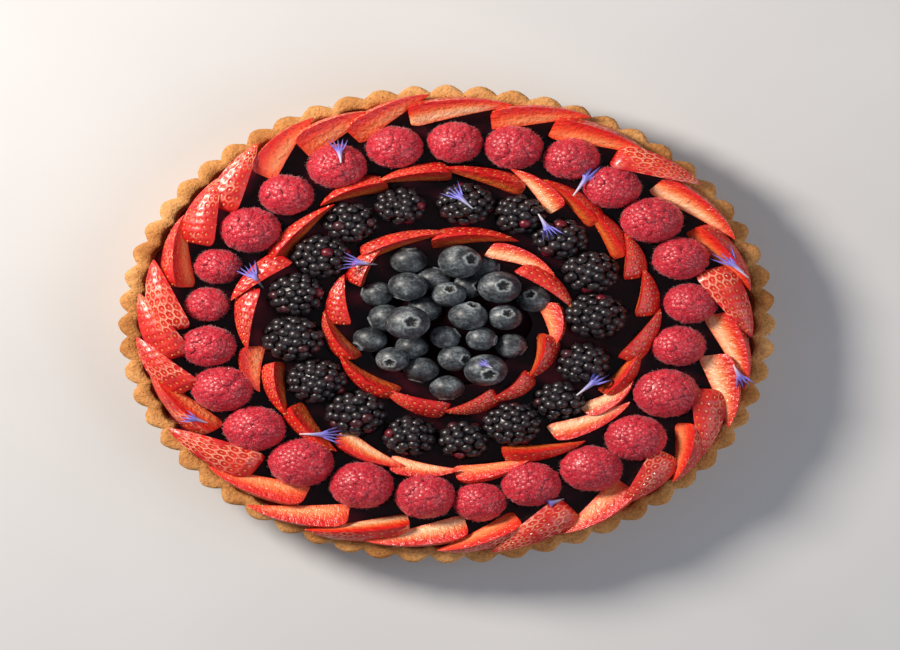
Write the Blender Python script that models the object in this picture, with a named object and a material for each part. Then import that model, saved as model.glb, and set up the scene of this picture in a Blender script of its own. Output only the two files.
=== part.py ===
"""A round berry tart: a fluted shortcrust case filled with dark berry jelly, and on it a heap of
blueberries inside rings of strawberry slices, brambles and raspberries. Metres, +Z up, with the
origin at the centre of the underside. Angles go clockwise from +Y, seen from above."""

import random
from math import cos, hypot, pi, radians, sin

import bmesh
import bpy
from mathutils import Matrix, Vector

MM = 0.001
GAP = 0.3 * MM  # kept between pieces that touch

# The pastry case
FLUTES = 60
POINTS_PER_FLUTE = 4
FLUTE_DEPTH = 2.6 * MM
CASE_RADIUS = 120 * MM  # to the crests of the flutes, at the rim
FOOT_RADIUS = 112 * MM
FOOT_FLUTING, CREST_FLUTING = 0.8, 0.7  # the waves' depth at the foot and on top, as shares of the rim's
CASE_HEIGHT = 28 * MM
RIM_ROUNDING = 2.2 * MM
LIP_HEIGHT = CASE_HEIGHT - 0.9 * MM  # the rim's inner edge
RIM_INNER_RADIUS = 113 * MM
FLOOR_RADIUS = 107 * MM
FLOOR_THICKNESS = 5 * MM

# The filling
FILLING_TOP = 22 * MM
FILLING_SIDES = 72

# Whole berries on the filling: angle in degrees, then distance from the centre and width in mm
BERRY_PROFILE = ((0, 0.66), (0.2, 0.93), (0.45, 1.0), (0.72, 0.86), (0.93, 0.46))  # rise, width
BERRY_LUMP = 0.07
RASPBERRY_SIDES, BRAMBLE_SIDES = 9, 8
RASPBERRY_TALLNESS = 0.95
RASPBERRIES = (
    (1.9, 91.3, 19.5), (15.5, 92, 20.4), (28.8, 94, 19.5), (41.2, 90.7, 20.2), (54.9, 91, 22),
    (68.8, 91, 20.7), (83.2, 89.3, 19.5), (97.3, 85.3, 19), (113.5, 86.7, 22.6), (129.6, 88.7, 21.5),
    (143.8, 89, 22), (159.1, 85.7, 21.5), (172.3, 89.7, 19), (185.4, 86.7, 21.5), (201.3, 86.3, 22),
    (217.6, 86.7, 22.6), (233.2, 87.3, 22), (248.5, 88, 22), (262.9, 87.7, 20), (276.6, 88, 16),
    (289.4, 88.3, 16.3), (303.5, 85.3, 21), (317.9, 87, 19.5), (333.2, 88.7, 21.5), (347.9, 90.3, 20.4),
)
BRAMBLE_TALLNESS = 0.92
BRAMBLES = (
    (6.9, 60.7, 20.6), (25.4, 61, 19.2), (44, 59.4, 18.8), (63.4, 58.6, 20.6), (85.6, 54.2, 22),
    (111.6, 53, 20), (133.2, 55.6, 18), (154.2, 55, 21), (174.6, 58.4, 18.4), (194, 57.3, 19.6),
    (216.6, 55.3, 21.2), (239, 55.3, 21.2), (263, 56.3, 22.2), (285.4, 56.7, 21.2), (306.6, 57.3, 20.2),
    (325.4, 61.7, 18.8), (344.4, 61.3, 18.8),
)

# The blueberry heap: each berry's place across and up the tart, width and layer, in mm
BLUEBERRIES = (
    (-14, 32, 14, 0), (4.7, 31.3, 16.4, 1), (13.4, 28, 12.5, 0), (-14.2, 19, 14.7, 1),
    (-25.4, 15.3, 12.7, 0), (-5, 22.6, 12.5, 0), (0.7, 14.9, 12.7, 1), (8, 19.3, 12, 0),
    (19.1, 18.6, 16, 1), (31.5, 12.6, 13, 0), (-22.1, 3.2, 14, 0), (-14.4, 0.9, 16.7, 2),
    (-8, 7.9, 13, 0), (7.7, 4.2, 14.7, 1), (21.1, 3.5, 12.7, 1), (-28, -7.5, 13, 0),
    (-12.7, -11.2, 12.5, 0), (-0.7, -6.5, 11.7, 1), (12.4, -7.2, 12, 1), (23.1, -10.5, 12.5, 0),
    (-19.8, -17.5, 12.4, 1), (-9.4, -22.6, 13.4, 0), (2.7, -16.9, 12.7, 1), (14.1, -22.9, 16, 1),
    (0, -31.6, 13, 0),
)
BLUEBERRY_LAYER = 6 * MM
HEAP_SPOKES = 28
HEAP_FOOT = 0.86  # the foot's share of the outline
HEAP_LEVELS = (0.93, 0.76, 0.58, 0.4, 0.2)  # shares of the outline, from the outside in
HEAP_SMOOTHING = 0.12  # radians either side over which the outline is averaged
HEAP_BLUR = 3 * MM  # and how far round a point its height is
HEAP_AROUND = ((0, 0), (1, 0), (-1, 0), (0, 1), (0, -1))

# Strawberry slices: blunt end's angle and distance, tip's angle and distance, in degrees and mm
OUTER_SLICES = (
    (352.5, 104.5, 12.6, 112), (9, 103, 27, 116), (21.3, 105.5, 41.3, 112), (36, 103, 53, 116),
    (47.5, 103.5, 68, 113), (62, 102, 81.5, 111.5), (74, 99, 93.5, 111), (87, 98, 107, 113),
    (99, 98, 117, 114.5), (109, 99, 126, 113.5), (119.5, 101, 134, 113.7), (129, 102, 145, 110),
    (141, 103, 159, 112), (154, 101, 172, 115), (165, 101, 182, 113), (176, 100.5, 196, 112),
    (188, 100, 207, 115), (200.7, 101.5, 219, 116), (211, 99.5, 231, 112), (224, 99, 243, 114),
    (238, 99.5, 259, 110), (251, 98, 267, 113), (260.5, 99, 278, 113), (268.5, 98, 287, 111.5),
    (281, 98, 300, 110), (294, 98.5, 312, 110.5), (305, 100, 323, 114), (318, 100, 335, 114),
    (329, 102.5, 346.6, 109), (340, 100, 357, 115),
)
MIDDLE_SLICES = (
    (22.5, 73, -2.5, 78), (35, 70, 16.5, 81), (47, 74, 25, 80), (62, 72, 38, 78), (71, 70, 54.5, 79),
    (86.5, 70.5, 68, 76.5), (105, 66, 84, 78), (121, 66.5, 99.5, 71), (131, 66, 112, 73),
    (145, 66, 120, 77), (162.5, 67, 139, 77), (177.5, 75, 154.5, 73), (196.5, 72, 176, 72.5),
    (215.5, 67.5, 191.5, 72.5), (234, 69, 212, 75), (253, 65, 231, 74), (261, 71, 243.5, 76),
    (284.5, 72, 260, 73.5), (299.5, 66.5, 278.5, 79.5), (297.5, 70.5, 326, 72.5),
    (342.5, 73.5, 322, 75), (361, 75.5, 339.5, 75),
)
INNER_SLICES = (
    (318, 46, 364, 46), (352.5, 41.5, 392.5, 49), (22, 40, 58.5, 46), (43, 38, 80.5, 46.5),
    (74, 38, 108, 40), (98, 36, 134.5, 40), (129.5, 38, 160, 41), (153, 38, 182.5, 43.5),
    (179.5, 41.5, 217, 39.5), (208, 38.5, 249.5, 41.5), (243, 37, 279.5, 45), (270, 37.5, 304, 45),
    (301, 38, 332, 45.5),
)
SLICE_STATIONS = ((0, 0.8), (0.3, 1.0), (0.66, 0.8))  # share of the length, share of the width
SLICE_OUTLINE = ((0, -0.5), (0.5, 0.14), (0.28, 0.46), (-0.28, 0.46), (-0.5, 0.14))  # core, then skin
SLICE_BEND = 0.08  # how far the middle bows towards the skin, as a share of the depth
OUTER_FANS, MIDDLE_FANS, INNER_FANS = 6, 5, 4
FAN_REACH = 80 * MM  # no fan touches a berry that is further than this from its middle

# A slice's width and depth, the heights of its two ends, in mm, and the rolls it may have, in degrees
OUTER_SHAPE = ((13, 15), (12, 13.5), 28, 31, (-125, -110, -20))  # low, leaning over the rim
MIDDLE_SHAPE = ((11, 12.5), (14, 16), 30, 33, (-25,))  # steep, leaning outwards
INNER_SHAPE = ((10.5, 12), (13, 15), 30, 34, (25,))  # steep, leaning inwards
ROLL_SPREAD = 12

# What keeps the slices off a berry: its rise and width as shares of the berry's, level by level
GUARD_SIDES = 8
GUARD_LEVELS = ((-0.05, 0.8), (0.28, 1.0), (0.62, 1.0), (1.06, 0.62))

rng = random.Random(11)


def spot(angle, distance, height=0.0):
    """The point at this angle, in degrees clockwise from +Y, and distance from the centre."""
    return Vector((distance * sin(radians(angle)), distance * cos(radians(angle)), height))


def material(name, colour, roughness):
    made = bpy.data.materials.new(name)
    made.use_nodes = True
    shader = made.node_tree.nodes["Principled BSDF"]
    shader.inputs["Base Color"].default_value = (*colour, 1)
    shader.inputs["Roughness"].default_value = roughness
    return made


def add_object(name, work, finish, smooth=True):
    """Makes an object of a bmesh, with its normals facing out and its material."""
    bmesh.ops.recalc_face_normals(work, faces=work.faces)
    mesh = bpy.data.meshes.new(name)
    work.to_mesh(mesh)
    work.free()
    if smooth:
        mesh.shade_smooth()
        mesh.set_sharp_from_angle(angle=radians(50))
    if finish:
        mesh.materials.append(finish)
    added = bpy.data.objects.new(name, mesh)
    bpy.context.scene.collection.objects.link(added)
    return added


def join_rings(work, lower, upper):
    """Faces between two rings of points. The lower one may have twice as many points."""
    step = len(lower) // len(upper)
    for i in range(len(upper)):
        a, b = upper[i], upper[(i + 1) % len(upper)]
        run = [lower[(i * step + k) % len(lower)] for k in range(step + 1)]
        if step == 1:
            work.faces.new((run[0], run[1], b, a))
            continue
        work.faces.new((run[0], run[1], a))
        work.faces.new((run[1], b, a))
        work.faces.new((run[1], run[2], b))


def ring(work, radius, height, count, flute=0.0):
    """A ring of points. flute is how far its waves stand in from the radius."""
    points = []
    for i in range(count):
        turn = 2 * pi * i / count
        wave = (1 - abs(cos(FLUTES * turn / 2))) * flute
        points.append(work.verts.new(((radius - wave) * sin(turn), (radius - wave) * cos(turn), height)))
    return points


def add_case(finish):
    """The pastry case: a fluted wall that flares, a rounded rim and a flat floor."""
    work = bmesh.new()
    outer = FLUTES * POINTS_PER_FLUTE
    inner = outer // 2
    foot = ring(work, FOOT_RADIUS, 0, outer, FLUTE_DEPTH * FOOT_FLUTING)
    shoulder = ring(work, CASE_RADIUS, CASE_HEIGHT - RIM_ROUNDING, outer, FLUTE_DEPTH)
    crest = ring(work, CASE_RADIUS - RIM_ROUNDING, CASE_HEIGHT, outer, FLUTE_DEPTH * CREST_FLUTING)
    lip = ring(work, RIM_INNER_RADIUS, LIP_HEIGHT, inner)
    floor = ring(work, FLOOR_RADIUS, FLOOR_THICKNESS, inner)
    join_rings(work, foot, shoulder)
    join_rings(work, shoulder, crest)
    join_rings(work, crest, lip)
    join_rings(work, lip, floor)
    work.faces.new(foot)
    work.faces.new(floor)
    return add_object("pastry_case", work, finish)


def wall_inside(height):
    """The radius of the case's inner wall at a height."""
    share = (height - FLOOR_THICKNESS) / (LIP_HEIGHT - FLOOR_THICKNESS)
    return FLOOR_RADIUS + share * (RIM_INNER_RADIUS - FLOOR_RADIUS)


def add_filling(finish):
    """The jelly: a flat round block that lies in the case."""
    work = bmesh.new()
    bottom = FLOOR_THICKNESS + GAP
    flat = cos(pi / FILLING_SIDES)  # a polygon's sides lie this much nearer than its corners
    low = ring(work, wall_inside(bottom) * flat - GAP, bottom, FILLING_SIDES)
    high = ring(work, wall_inside(FILLING_TOP) * flat - GAP, FILLING_TOP, FILLING_SIDES)
    join_rings(work, low, high)
    work.faces.new(low)
    work.faces.new(high)
    return add_object("berry_filling", work, finish)


def berry_mesh(width, tallness, sides):
    """A domed berry with a flat base at z = 0, and lumps in a staggered pattern."""
    work = bmesh.new()
    levels = []
    for row, (rise, share) in enumerate(BERRY_PROFILE):
        points = []
        for side in range(sides):
            turn = 2 * pi * (side + row % 2 / 2) / sides
            lump = BERRY_LUMP * rng.uniform(0.5, 1) * ((side + row // 2) % 2)
            reach = width / 2 * share * (1 - lump)
            points.append(work.verts.new((reach * cos(turn), reach * sin(turn), width * tallness * rise)))
        levels.append(points)
    for row, (low, high) in enumerate(zip(levels, levels[1:])):
        for side in range(sides):
            after = (side + 1) % sides
            if row % 2:
                work.faces.new((low[side], low[after], high[after]))
                work.faces.new((low[side], high[after], high[side]))
            else:
                work.faces.new((low[side], low[after], high[side]))
                work.faces.new((low[after], high[after], high[side]))
    work.faces.new(levels[0])
    tip = work.verts.new((0, 0, width * tallness))
    for side in range(sides):
        work.faces.new((levels[-1][side], levels[-1][(side + 1) % sides], tip))
    return work


def add_berries(name, places, tallness, sides, finish):
    """Berries that stand on the filling with their tips up."""
    for number, (angle, distance, width) in enumerate(places, 1):
        berry = add_object(f"{name}_{number:02d}", berry_mesh(width * MM, tallness, sides), finish)
        berry.location = spot(angle, distance * MM, FILLING_TOP + GAP)
        berry.rotation_euler.z = radians(-angle)


def heap_height(x, y):
    """How high the blueberries stand above the filling at a point. Beside a berry the height
    falls off from its middle."""
    best = 0.0
    for across, up, width, layer in BLUEBERRIES:
        radius = width * MM / 2
        middle = radius + layer * BLUEBERRY_LAYER
        away = hypot(x - across * MM, y - up * MM)
        crown = (radius**2 - away**2) ** 0.5 if away < radius else radius - away
        best = max(best, middle + crown)
    return best


def heap_reach(angle):
    """How far the blueberries reach from the centre along an angle."""
    best = 0.0
    for across, up, width, _ in BLUEBERRIES:
        radius = width * MM / 2
        along = across * MM * sin(angle) + up * MM * cos(angle)
        aside = abs(across * MM * cos(angle) - up * MM * sin(angle))
        if aside < radius and along > 0:
            best = max(best, along + (radius**2 - aside**2) ** 0.5)
    return best


def heap_mesh(grow=0.0):
    """The blueberries as one lumpy mound, out to their uneven outline. grow swells it all round."""
    work = bmesh.new()
    base = FILLING_TOP + GAP - grow
    turns = [2 * pi * i / HEAP_SPOKES for i in range(HEAP_SPOKES)]
    leans = (-HEAP_SMOOTHING, 0, HEAP_SMOOTHING)
    reach = [sum(heap_reach(turn + lean) for lean in leans) / len(leans) + grow for turn in turns]

    def level(share, height):
        points = []
        for turn, far in zip(turns, reach):
            x, y = far * share * sin(turn), far * share * cos(turn)
            if height is None:
                around = [heap_height(x + dx * HEAP_BLUR, y + dy * HEAP_BLUR) for dx, dy in HEAP_AROUND]
                rise = sum(around) / len(around)
            else:
                rise = height
            points.append(work.verts.new((x, y, base + rise + 2 * grow)))
        return points

    foot = level(HEAP_FOOT, -2 * grow)
    outside = level(1.0, BLUEBERRY_LAYER)
    join_rings(work, foot, outside)
    for share in HEAP_LEVELS:
        inside = level(share, None)
        join_rings(work, outside, inside)
        outside = inside
    top = work.verts.new((0, 0, base + heap_height(0, 0) + 2 * grow))
    for i in range(HEAP_SPOKES):
        work.faces.new((outside[i], outside[(i + 1) % HEAP_SPOKES], top))
    work.faces.new(foot)
    return work


def slice_mesh(piece, grow=0.0):
    """A strawberry cut lengthwise in wedges: a flat blunt end, two cut faces that meet at the
    core, and the round skin. roll turns it about its length; at 0 its skin faces up. grow swells
    it, three times as much where its faces slant."""
    blunt, tip, width, depth, roll = piece
    work = bmesh.new()
    along = (tip - blunt).normalized()
    slant = 3 * grow
    blunt, tip = blunt - along * grow, tip + along * slant
    side = along.cross(Vector((0, 0, 1))).normalized()
    up = side.cross(along)
    turned = Matrix.Rotation(roll, 3, along)
    side, up = turned @ side, turned @ up
    rows = []
    for share, size in SLICE_STATIONS:
        centre = blunt.lerp(tip, share) + up * depth * SLICE_BEND * sin(pi * share)
        row = []
        for across, rise in SLICE_OUTLINE:
            out = side * (across * (width * size + slant)) + up * (rise * (depth * size + slant))
            row.append(work.verts.new(centre + out))
        rows.append(row)
    for low, high in zip(rows, rows[1:]):
        join_rings(work, low, high)
    work.faces.new(rows[0])
    end = work.verts.new(tip)
    for i in range(len(SLICE_OUTLINE)):
        work.faces.new((rows[-1][i], rows[-1][(i + 1) % len(SLICE_OUTLINE)], end))
    return work


def keep_clear_mesh():
    """What the slices must not enter: the case's rim and the filling, with a gap over both."""
    work = bmesh.new()
    outside = 2 * CASE_RADIUS
    low = ring(work, outside, 0, FILLING_SIDES)
    edge = ring(work, outside, CASE_HEIGHT + GAP, FILLING_SIDES)
    lip = ring(work, RIM_INNER_RADIUS - 2 * GAP, CASE_HEIGHT + GAP, FILLING_SIDES)
    floor = ring(work, wall_inside(FILLING_TOP) - 2 * GAP, FILLING_TOP + GAP, FILLING_SIDES)
    join_rings(work, low, edge)
    join_rings(work, edge, lip)
    join_rings(work, lip, floor)
    work.faces.new(low)
    work.faces.new(floor)
    return work


def guard_mesh(place, width, tallness):
    """A cutter that keeps the gap round a berry: eight sides, drawn in at the foot and the top."""
    work = bmesh.new()
    reach = (width / 2) / cos(pi / GUARD_SIDES) + GAP
    tall = width * tallness
    levels = []
    for rise, share in GUARD_LEVELS:
        levels.append(ring(work, reach * share, FILLING_TOP + tall * rise, GUARD_SIDES))
    for low, high in zip(levels, levels[1:]):
        join_rings(work, low, high)
    work.faces.new(levels[0])
    work.faces.new(levels[-1])
    bmesh.ops.translate(work, verts=work.verts, vec=place)
    return work


def combine(target, work, operation):
    """Joins a bmesh to the target (UNION) or cuts it away (DIFFERENCE)."""
    other = add_object("other", work, None, smooth=False)
    step = target.modifiers.new("combine", "BOOLEAN")
    step.operation = operation
    step.solver = "EXACT"
    step.object = other
    graph = bpy.context.evaluated_depsgraph_get()
    result = bpy.data.meshes.new_from_object(target.evaluated_get(graph))
    target.modifiers.clear()
    target.data = result
    bpy.data.objects.remove(other)


def keep_largest(target):
    """Drops the small bits that a cut leaves beside the main piece."""
    work = bmesh.new()
    work.from_mesh(target.data)
    left = set(work.verts)
    islands = []
    while left:
        island = [left.pop()]
        for vert in island:
            beside = {edge.other_vert(vert) for edge in vert.link_edges} & left
            left -= beside
            island.extend(beside)
        islands.append(island)
    islands.sort(key=len)
    for island in islands[:-1]:
        bmesh.ops.delete(work, geom=island, context="VERTS")
    work.to_mesh(target.data)
    work.free()


def draw_slice(widths, depths, blunt, tip, rolls):
    """The heights of a slice's ends, and its width, depth and roll drawn at random."""
    roll = radians(rng.choice(rolls) + rng.uniform(-ROLL_SPREAD, ROLL_SPREAD))
    return blunt * MM, tip * MM, (rng.uniform(*widths) * MM, rng.uniform(*depths) * MM, roll)


def add_fans(name, slices, fans, shape, guards, heap, finish):
    """A ring of slices, made as fans of neighbours that lie on each other. A fan keeps the gap to
    the last two slices of the fan before it, and the last fan to the first two slices as well."""
    pieces = []
    for start, inner, end, outer in slices:
        blunt, tip, size = draw_slice(*shape)
        pieces.append((spot(start, inner * MM, blunt), spot(end, outer * MM, tip), *size))
    first = 0
    for number in range(fans):
        last = round(len(pieces) * (number + 1) / fans)
        fan = add_object(f"{name}_{number + 1}", slice_mesh(pieces[first]), None)
        for piece in pieces[first + 1 : last]:
            combine(fan, slice_mesh(piece), "UNION")
        fences = pieces[first - 2 : first] if number else []
        if number == fans - 1:
            fences = fences + pieces[:2]
        for piece in fences:
            combine(fan, slice_mesh(piece, GAP), "DIFFERENCE")
        middle = sum((Vector(corner) for corner in fan.bound_box), Vector()) / 8
        for angle, distance, width, tallness in guards:
            place = spot(angle, distance * MM)
            if hypot(place.x - middle.x, place.y - middle.y) < FAN_REACH:
                combine(fan, guard_mesh(place, width * MM, tallness), "DIFFERENCE")
        if heap:
            combine(fan, heap_mesh(GAP * 2), "DIFFERENCE")
        combine(fan, keep_clear_mesh(), "DIFFERENCE")
        keep_largest(fan)
        fan.data.materials.clear()
        fan.data.materials.append(finish)
        first = last


def main():
    for old in list(bpy.data.objects):
        bpy.data.objects.remove(old)
    pastry = material("pastry", (0.60, 0.34, 0.13), 0.85)
    jelly = material("berry_jelly", (0.06, 0.006, 0.012), 0.15)
    raspberry = material("raspberry", (0.48, 0.02, 0.035), 0.4)
    bramble = material("bramble", (0.02, 0.012, 0.018), 0.25)
    blueberry = material("blueberry", (0.06, 0.075, 0.11), 0.6)
    strawberry = material("strawberry", (0.62, 0.05, 0.02), 0.35)

    add_case(pastry)
    add_filling(jelly)
    add_berries("raspberry", RASPBERRIES, RASPBERRY_TALLNESS, RASPBERRY_SIDES, raspberry)
    add_berries("bramble", BRAMBLES, BRAMBLE_TALLNESS, BRAMBLE_SIDES, bramble)
    add_object("blueberry_heap", heap_mesh(), blueberry)

    raspberry_guards = [(*place, RASPBERRY_TALLNESS) for place in RASPBERRIES]
    bramble_guards = [(*place, BRAMBLE_TALLNESS) for place in BRAMBLES]
    add_fans("strawberry_outer", OUTER_SLICES, OUTER_FANS, OUTER_SHAPE, raspberry_guards, False, strawberry)
    both = raspberry_guards + bramble_guards
    add_fans("strawberry_middle", MIDDLE_SLICES, MIDDLE_FANS, MIDDLE_SHAPE, both, False, strawberry)
    add_fans("strawberry_inner", INNER_SLICES, INNER_FANS, INNER_SHAPE, bramble_guards, True, strawberry)


main()
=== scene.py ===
import random
from math import ceil, cos, floor, hypot, pi, radians, sin

import bpy
import numpy as np
from mathutils import Matrix, Vector, noise


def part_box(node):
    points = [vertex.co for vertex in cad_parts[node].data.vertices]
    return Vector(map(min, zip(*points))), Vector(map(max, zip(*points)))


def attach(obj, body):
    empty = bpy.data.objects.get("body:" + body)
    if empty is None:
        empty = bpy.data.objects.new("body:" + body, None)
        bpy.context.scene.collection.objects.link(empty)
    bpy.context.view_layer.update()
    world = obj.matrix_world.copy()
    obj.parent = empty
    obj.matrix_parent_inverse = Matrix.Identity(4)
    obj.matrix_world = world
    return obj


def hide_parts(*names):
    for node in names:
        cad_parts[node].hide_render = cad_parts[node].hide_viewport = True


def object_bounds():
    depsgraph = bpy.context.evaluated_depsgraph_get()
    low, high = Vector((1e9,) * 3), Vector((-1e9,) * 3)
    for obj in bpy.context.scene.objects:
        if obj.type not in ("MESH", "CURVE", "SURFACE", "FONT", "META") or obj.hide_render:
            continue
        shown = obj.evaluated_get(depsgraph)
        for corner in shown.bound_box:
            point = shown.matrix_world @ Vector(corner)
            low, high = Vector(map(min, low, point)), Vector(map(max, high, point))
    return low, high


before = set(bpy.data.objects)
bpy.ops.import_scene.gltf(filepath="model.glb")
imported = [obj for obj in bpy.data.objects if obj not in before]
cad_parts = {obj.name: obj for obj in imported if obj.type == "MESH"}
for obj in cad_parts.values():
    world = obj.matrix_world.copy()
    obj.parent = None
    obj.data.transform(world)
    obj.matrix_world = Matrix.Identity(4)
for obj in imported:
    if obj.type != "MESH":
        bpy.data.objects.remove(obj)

cad_low, cad_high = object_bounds()


# ---- The pastry case
# A shell of sweet shortcrust, pressed into a fluted loose-bottomed tin and baked. The rim has a
# soft round edge, and its surface is sandy and unevenly browned.

MM = 0.001
FLUTES = 60
_, case_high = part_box("pastry_case")
CASE_RADIUS = case_high.x
CASE_HEIGHT = case_high.z
FOOT_RADIUS = 112 * MM
FLUTE_DEPTH = 4 * MM
RIM_INNER = 112.6 * MM
RIM_ROUNDING = 2.6 * MM
INSIDE_DROP = 6.5 * MM  # how far the wall goes down inside, to under the jelly
_, jelly_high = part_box("berry_filling")
JELLY_TOP = jelly_high.z


def mesh_object(name, points, faces, materials, kinds=None, smooth=True):
    """A piece from points and faces. kinds says which material each face has."""
    mesh = bpy.data.meshes.new(name)
    mesh.from_pydata([tuple(point) for point in points], [], faces)
    if smooth:
        mesh.shade_smooth()
    for made in materials:
        mesh.materials.append(made)
    if kinds is not None:
        mesh.polygons.foreach_set("material_index", kinds)
    mesh.validate()
    piece = bpy.data.objects.new(name, mesh)
    bpy.context.scene.collection.objects.link(piece)
    return piece


def turns(count):
    return [2 * pi * step / count for step in range(count)]


def grid_faces(rows, columns, start=0):
    """Quads between rows of points, each row a closed ring."""
    faces = []
    for row in range(rows - 1):
        low = start + row * columns
        for column in range(columns):
            after = (column + 1) % columns
            faces.append((low + column, low + after, low + columns + after, low + columns + column))
    return faces


def add_mesh(points, faces, more_points, more_faces):
    """Adds one mesh's points and faces to another's."""
    faces += [tuple(len(points) + corner for corner in face) for face in more_faces]
    points += list(more_points)


def store(piece, name, values):
    """Keeps a value for each point of a piece, which its material reads."""
    piece.data.attributes.new(name, "FLOAT", "POINT").data.foreach_set("value", values)


def node_of(tree, kind, **values):
    """A shader node, with its settings and unlinked sockets set by name."""
    made = tree.nodes.new(kind)
    for key, value in values.items():
        if hasattr(made, key):
            setattr(made, key, value)
        else:
            made.inputs[key.replace("_", " ")].default_value = value
    return made


def surface(name, **values):
    """A Principled material. Returns the material, its tree and its shader."""
    made = bpy.data.materials.new(name)
    made.use_nodes = True
    shader = made.node_tree.nodes["Principled BSDF"]
    for key, value in values.items():
        shader.inputs[key.replace("_", " ")].default_value = value
    return made, made.node_tree, shader


def ramp(tree, source, stops):
    """Colours along a value, as (place, colour) stops."""
    made = tree.nodes.new("ShaderNodeValToRGB")
    bands = made.color_ramp.elements
    while len(bands) < len(stops):
        bands.new(0.5)
    for band, (place, colour) in zip(bands, stops):
        band.position = place
        band.color = (*colour, 1)
    tree.links.new(source, made.inputs["Fac"])
    return made.outputs["Color"]


def put(tree, socket, value):
    """Links a socket to another, or sets it to a plain number or colour."""
    if isinstance(value, bpy.types.NodeSocket):
        tree.links.new(value, socket)
    else:
        socket.default_value = (*value, 1) if isinstance(value, tuple) else value


def mixed(tree, factor, first, second, blend="MIX"):
    """Two colours mixed, each a socket or a plain one, and so is the factor."""
    made = node_of(tree, "ShaderNodeMix", data_type="RGBA", blend_type=blend)
    for index, value in ((0, factor), (6, first), (7, second)):
        put(tree, made.inputs[index], value)
    return made.outputs[2]


def stored(tree, name):
    return node_of(tree, "ShaderNodeAttribute", attribute_name=name).outputs["Fac"]


def maths(tree, operation, *values):
    """A calculation on sockets and plain numbers."""
    made = node_of(tree, "ShaderNodeMath", operation=operation)
    for socket, value in zip(made.inputs, values):
        put(tree, socket, value)
    return made.outputs[0]


def bumps(tree, height, strength, distance, onto=None):
    made = node_of(tree, "ShaderNodeBump", Strength=strength, Distance=distance)
    tree.links.new(height, made.inputs["Height"])
    if onto:
        tree.links.new(onto, made.inputs["Normal"])
    return made.outputs["Normal"]


def noise_of(tree, scale, detail=4.0, rough=0.55):
    place = tree.nodes.new("ShaderNodeTexCoord").outputs["Object"]
    made = node_of(tree, "ShaderNodeTexNoise", Scale=scale, Detail=detail, Roughness=rough)
    tree.links.new(place, made.inputs["Vector"])
    return made.outputs["Fac"]


def dress(tree, shader, colour, relief):
    """Gives a material its colour and its relief."""
    tree.links.new(colour, shader.inputs["Base Color"])
    tree.links.new(relief, shader.inputs["Normal"])


def baked_crust():
    """Golden shortcrust: sandy, and browner in patches."""
    made, tree, shader = surface(
        "baked_crust", Roughness=0.78, Specular_IOR_Level=0.25, Subsurface_Weight=0.08,
        Subsurface_Radius=(0.004, 0.002, 0.001))
    patches = ramp(tree, noise_of(tree, 45, 5), (
        (0.30, (0.70, 0.365, 0.138)), (0.48, (0.60, 0.280, 0.090)), (0.62, (0.47, 0.195, 0.054)),
        (0.78, (0.33, 0.120, 0.031))))
    specks = ramp(tree, noise_of(tree, 900, 2), ((0.36, (0.78, 0.74, 0.68)), (0.60, (1.12, 1.1, 1.08))))
    colour = mixed(tree, 0.8, patches, specks, "MULTIPLY")
    grain = bumps(tree, noise_of(tree, 1100, 3), 0.8, 0.0006)
    dress(tree, shader, colour, bumps(tree, noise_of(tree, 480, 4), 0.7, 0.0011, grain))
    return made


def case_profile():
    """Radius, height and share of the fluting, from the foot round the rim and down inside."""
    rim_half = (CASE_RADIUS - RIM_INNER) / 2
    shoulder, bevel = CASE_HEIGHT - RIM_ROUNDING, 0.6 * MM
    profile = [(0, 0, 0.8), (FOOT_RADIUS - 3 * MM, 0, 0.8)]
    for step in range(15):
        share = step / 14
        flare = FOOT_RADIUS + (CASE_RADIUS - FOOT_RADIUS) * share
        profile.append((flare, bevel + (shoulder - bevel) * share, 0.8 + 0.2 * share))
    for step in range(1, 12):
        turn = pi * step / 12
        across = CASE_RADIUS - rim_half + rim_half * cos(turn)
        profile.append((across, shoulder + RIM_ROUNDING * sin(turn) ** 0.75, 0.95 - 0.045 * step))
    for step in range(8):
        share = step / 7
        profile.append((RIM_INNER - 3 * MM * share, shoulder - INSIDE_DROP * share, 0.45 - 0.15 * share))
    profile.append((0, shoulder - INSIDE_DROP, 0))
    return profile


def case_mesh():
    columns = FLUTES * 14
    points, faces = [], []
    profile = case_profile()
    rings = profile[1:-1]
    for radius, height, fluting in rings:
        for turn in turns(columns):
            place = Vector((cos(turn), sin(turn), height * 12))
            slump = noise.noise(place * 5.5) * 0.8 * MM
            lobe = 1 - abs(cos(FLUTES * turn / 2 + noise.noise(place * 3) * 0.25)) ** 0.85
            uneven = 1 + 0.3 * noise.noise(place * 9)
            reach = radius - lobe * FLUTE_DEPTH * fluting * uneven + slump * 0.4 - 0.3 * MM
            rise = height + slump * 0.9 - 0.5 * MM if height > CASE_HEIGHT / 2 else height
            point = Vector((reach * sin(turn), reach * cos(turn), rise))
            rough = noise.noise(point * 900) * 0.16 * MM + noise.noise(point * 330) * 0.3 * MM
            if height > 0:
                point += Vector((sin(turn), cos(turn), 0.8 if height > CASE_HEIGHT * 0.8 else 0)) * rough
            points.append(point)
    faces = [face[::-1] for face in grid_faces(len(rings), columns)]
    low_middle = len(points)
    points += [Vector((0, 0, 0)), Vector((0, 0, rings[-1][1]))]
    last = (len(rings) - 1) * columns
    for column in range(columns):
        after = (column + 1) % columns
        faces.append((column, after, low_middle))
        faces.append((last + after, last + column, low_middle + 1))
    return points, faces


crust = mesh_object("crust", *case_mesh(), [baked_crust()])
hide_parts("pastry_case")
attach(crust, "root")


# ---- The berry jelly
# Dark fruit jelly poured into the case and set round the feet of the fruit. It stands a little
# higher where it wets the crust, and it is so dark that it looks almost black between the berries.


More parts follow.
